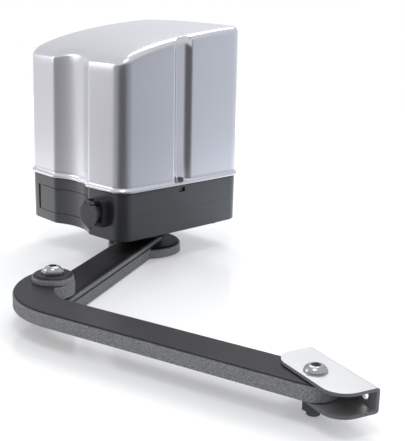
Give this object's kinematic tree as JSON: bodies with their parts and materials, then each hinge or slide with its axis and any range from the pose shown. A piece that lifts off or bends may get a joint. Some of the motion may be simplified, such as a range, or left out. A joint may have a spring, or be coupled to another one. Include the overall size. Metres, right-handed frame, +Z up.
{
  "type": "articulated arm gate opener",
  "caption": "Swing gate opener: domed housing on a cast base, driven straight arm under it, curved arm and a U bracket for the gate leaf.",
  "frame": {"origin": "centre of the four wall fixing holes, in the rear face of the base", "axes": "+Y into the wall, +Z up, +X to the right seen from the front"},
  "size_m": [0.6544, 0.416, 0.2948],
  "materials": {
    "base_paint": "fine textured satin paint",
    "cover_plastic": "satin silver moulding",
    "arm_paint": "sand textured powder coat",
    "zinc_plate": "bright zinc",
    "bolt_steel": "bright plated",
    "black_plastic": "moulded, fine grain",
    "grey_plastic": "moulded, fine grain",
    "ground_steel": "ground",
    "gear_steel": "hobbed and oiled",
    "wheel_bronze": "machined",
    "seal_rubber": "matt",
    "cast_alloy": "cast",
    "motor_steel": "satin",
    "sheet_steel": "zinc plated",
    "coil_tape": "taped winding",
    "board_green": "lacquered laminate",
    "capacitor_sleeve": "sleeved can",
    "fuse_glass": "fuse in its holder"
  },
  "bodies": {
    "housing": {"base_housing": "base_paint", "lever_pin": "ground_steel", "cover_shell": "cover_plastic", "cover_gasket": "seal_rubber", "cover_screws": "bolt_steel", "lock_housing": "black_plastic", "lock_cap_pin": "ground_steel", "lower_bearing": "ground_steel", "upper_bearing": "ground_steel", "oil_seal": "seal_rubber", "gear_cover_plate": "cast_alloy", "worm_housing": "cast_alloy", "gear_screws": "bolt_steel", "motor_can": "motor_steel", "motor_end_cap": "black_plastic", "board_bracket": "sheet_steel", "control_board": "board_green", "board_spacers": "grey_plastic", "terminal_blocks": "black_plastic", "relays": "black_plastic", "board_capacitor": "capacitor_sleeve", "board_fuse": "fuse_glass", "transformer_core": "sheet_steel", "transformer_coil": "coil_tape", "transformer_bracket": "sheet_steel", "limit_switches": "black_plastic", "cable_gland": "black_plastic"},
    "driven_arm": {"output_shaft": "ground_steel", "shaft_keys": "ground_steel", "output_gear": "gear_steel", "limit_cams": "grey_plastic", "straight_arm": "arm_paint", "hub_screw": "bolt_steel", "elbow_bolt": "bolt_steel", "elbow_washer": "bolt_steel", "elbow_nut": "bolt_steel"},
    "follower_arm": {"curved_arm": "arm_paint", "elbow_bush": "wheel_bronze", "gate_bush": "wheel_bronze"},
    "gate_fixing": {"gate_bracket": "zinc_plate", "gate_bolt": "bolt_steel", "gate_washer": "bolt_steel", "gate_nut": "bolt_steel"},
    "lay_gear": {"lay_shaft": "ground_steel", "worm_wheel": "wheel_bronze"},
    "rotor": {"worm_shaft": "ground_steel"},
    "release_flap": {"release_lever": "black_plastic"},
    "dust_cap": {"lock_cap": "grey_plastic"},
    "key_cylinder": {"key_plug": "wheel_bronze"}
  },
  "joints": [
    {"name": "output_turn", "type": "hinge", "parent": "housing", "child": "driven_arm", "pos_m": [0.0345, -0.115, -0.05], "axis": [0, 0, 1], "range_deg": [-100, 85]},
    {"name": "elbow_pivot", "type": "hinge", "parent": "driven_arm", "child": "follower_arm", "pos_m": [0.1538, -0.34714, -0.0385], "axis": [0, 0, 1], "range_deg": [-60, 68]},
    {"name": "gate_pivot", "type": "hinge", "parent": "follower_arm", "child": "gate_fixing", "pos_m": [0.49868, -0.32768, -0.0385], "axis": [0, 0, 1], "range_deg": [-120, 30]},
    {"name": "lay_turn", "type": "hinge", "parent": "housing", "child": "lay_gear", "pos_m": [-0.02188, -0.09448, 0.02], "axis": [0, 0, 1], "range_deg": [-255, 300]},
    {"name": "rotor_turn", "type": "hinge", "parent": "housing", "child": "rotor", "pos_m": [-0.05688, -0.12, 0.063], "axis": [0, 1, 0], "range_deg": [-5400, 4590]},
    {"name": "lever_swing", "type": "hinge", "parent": "housing", "child": "release_flap", "pos_m": [-0.0703, -0.20293, 0], "axis": [0, 0, -1], "range_deg": [0, 80]},
    {"name": "cap_lift", "type": "hinge", "parent": "housing", "child": "dust_cap", "pos_m": [0.06, -0.2263, 0.019], "axis": [-1, 0, 0], "range_deg": [0, 110]},
    {"name": "key_turn", "type": "hinge", "parent": "housing", "child": "key_cylinder", "pos_m": [0.06, -0.22, 0.004], "axis": [0, -1, 0], "range_deg": [0, 90]}
  ],
  "couplings": [
    {"joint": "lay_turn", "follows": "output_turn", "ratio": -3},
    {"joint": "rotor_turn", "follows": "output_turn", "ratio": 54}
  ]
}
